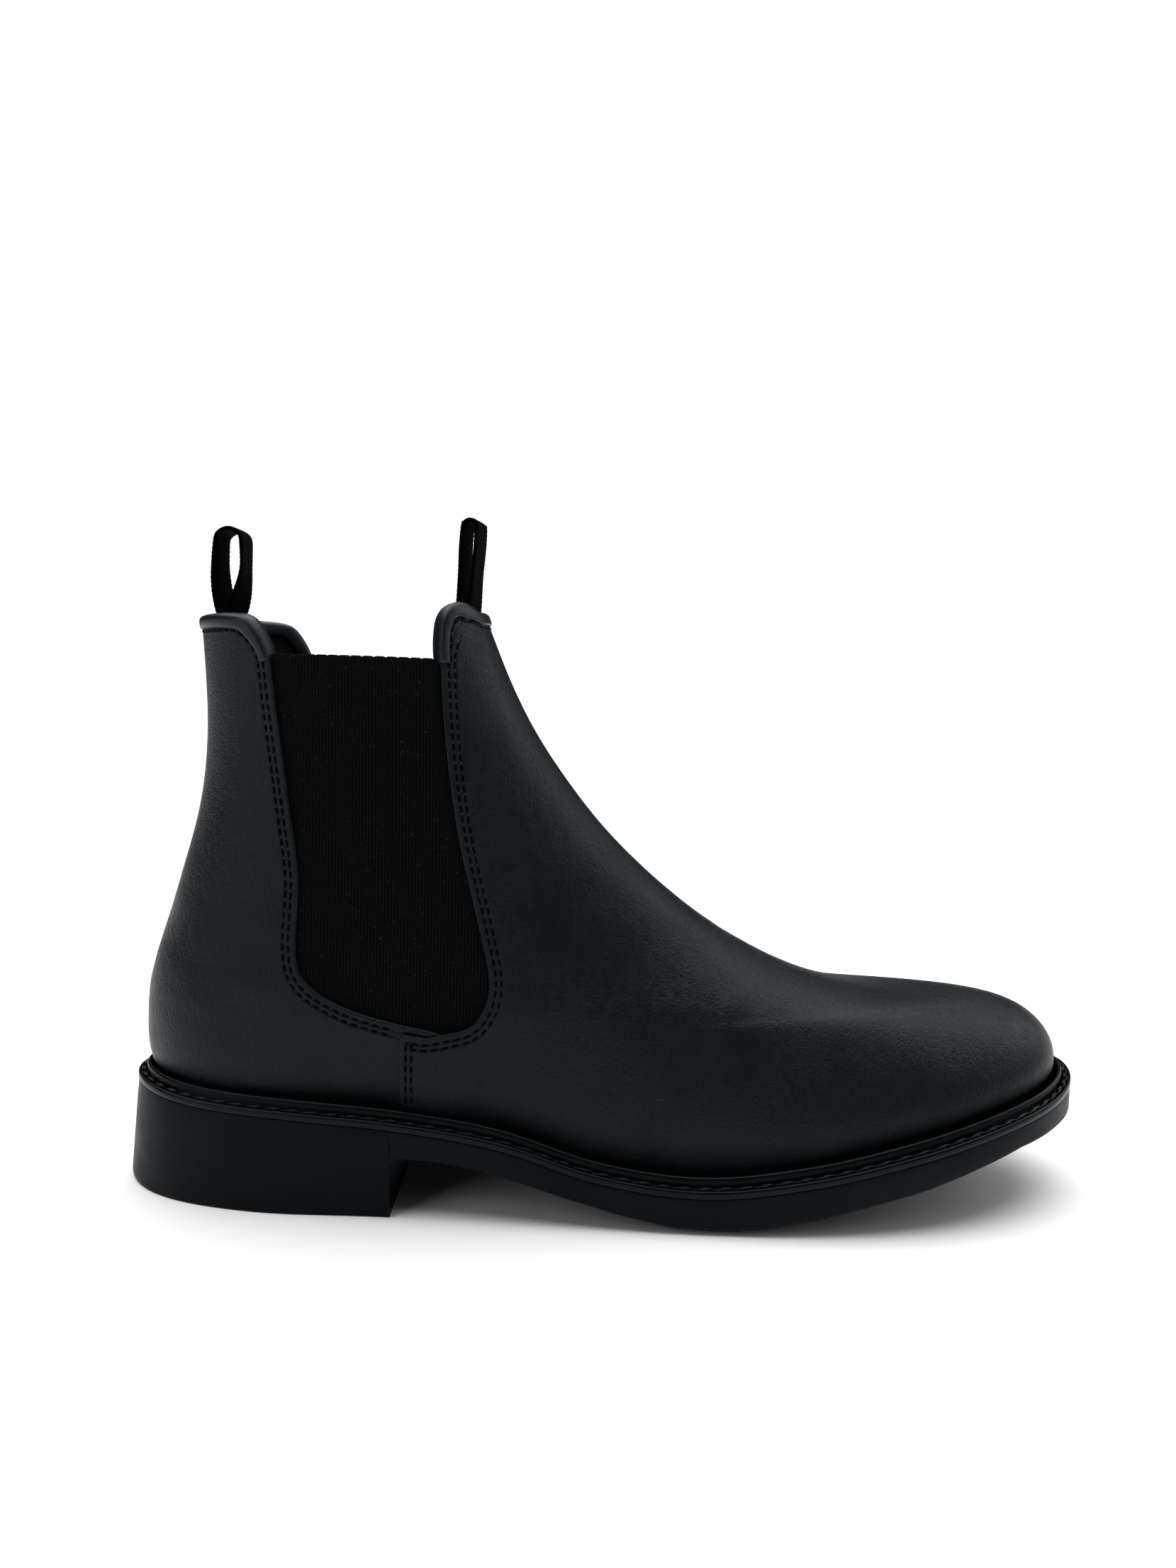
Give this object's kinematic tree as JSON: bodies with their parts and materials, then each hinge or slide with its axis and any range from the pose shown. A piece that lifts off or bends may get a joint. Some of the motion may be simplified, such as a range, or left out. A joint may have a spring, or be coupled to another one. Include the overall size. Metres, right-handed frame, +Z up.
{
  "type": "chelsea boot",
  "caption": "Right ankle boot in smooth black leather with elastic side gores, bound collar, front and back pull loops, storm welt and a moulded heeled sole.",
  "frame": {"origin": "middle of the boot's footprint, on the floor it stands on", "axes": "+X towards the toe, +Y towards the inner (medial) side of the right foot, +Z up"},
  "size_m": [0.3052, 0.1008, 0.2092],
  "materials": {
    "upper_leather": "smooth fine-grained black leather with a soft sheen and light creases over the instep",
    "binding_leather": "folded black leather edge, a little rounder and shinier than the upper",
    "lining_leather": "matt black lining leather",
    "elastic": "black elastic webbing with fine upright ribs and pale speckles",
    "tape": "black grosgrain tape with scalloped edges",
    "thread": "black polyester sewing thread",
    "outsole_rubber": "black moulded rubber, satin on the walls",
    "welt_rubber": "black moulded welt with a glossy rib and rim",
    "fibreboard": "pressed fibre insole board",
    "cork": "granulated cork filler",
    "foam": "light foam heel filling",
    "stiffener": "thermoplastic stiffener sheet",
    "shank_steel": "sprung steel strip"
  },
  "bodies": {
    "root": {"outsole": "outsole_rubber", "heel_core": "foam", "shank": "shank_steel", "cork_filler": "cork", "welt": "welt_rubber", "welt_thread": "thread", "insole_board": "fibreboard", "sock_liner": "lining_leather", "toe_puff": "stiffener", "heel_counter": "stiffener", "back_seam_tape": "tape", "gore_outer": "elastic", "gore_inner": "elastic", "quarter_outer": "upper_leather", "quarter_inner": "upper_leather", "vamp": "upper_leather", "quarter_lining": "lining_leather", "vamp_lining": "lining_leather", "collar_binding_back": "binding_leather", "back_loop_tail": "tape"},
    "front_shaft": {"vamp_shaft": "upper_leather", "shaft_lining": "lining_leather", "collar_binding_front": "binding_leather", "front_loop_tail": "tape"},
    "front_loop": {"front_loop": "tape"},
    "back_loop": {"back_loop": "tape"}
  },
  "joints": [
    {"name": "collar_open", "type": "hinge", "parent": "root", "child": "front_shaft", "pos_m": [0.01082, 0.00028, 0.099], "axis": [0, 1, 0], "range_deg": [0, 12], "stiffness_Nm_per_rad": 5, "deforming": ["gore_outer", "gore_inner"]},
    {"name": "front_loop_fold", "type": "hinge", "parent": "front_shaft", "child": "front_loop", "pos_m": [-0.04698, 0.00028, 0.1826], "axis": [0, 1, 0], "range_deg": [-75, 55], "stiffness_Nm_per_rad": 0.004},
    {"name": "back_loop_fold", "type": "hinge", "parent": "root", "child": "back_loop", "pos_m": [-0.12198, 0.00028, 0.1826], "axis": [0, 1, 0], "range_deg": [-70, 75], "stiffness_Nm_per_rad": 0.004}
  ]
}
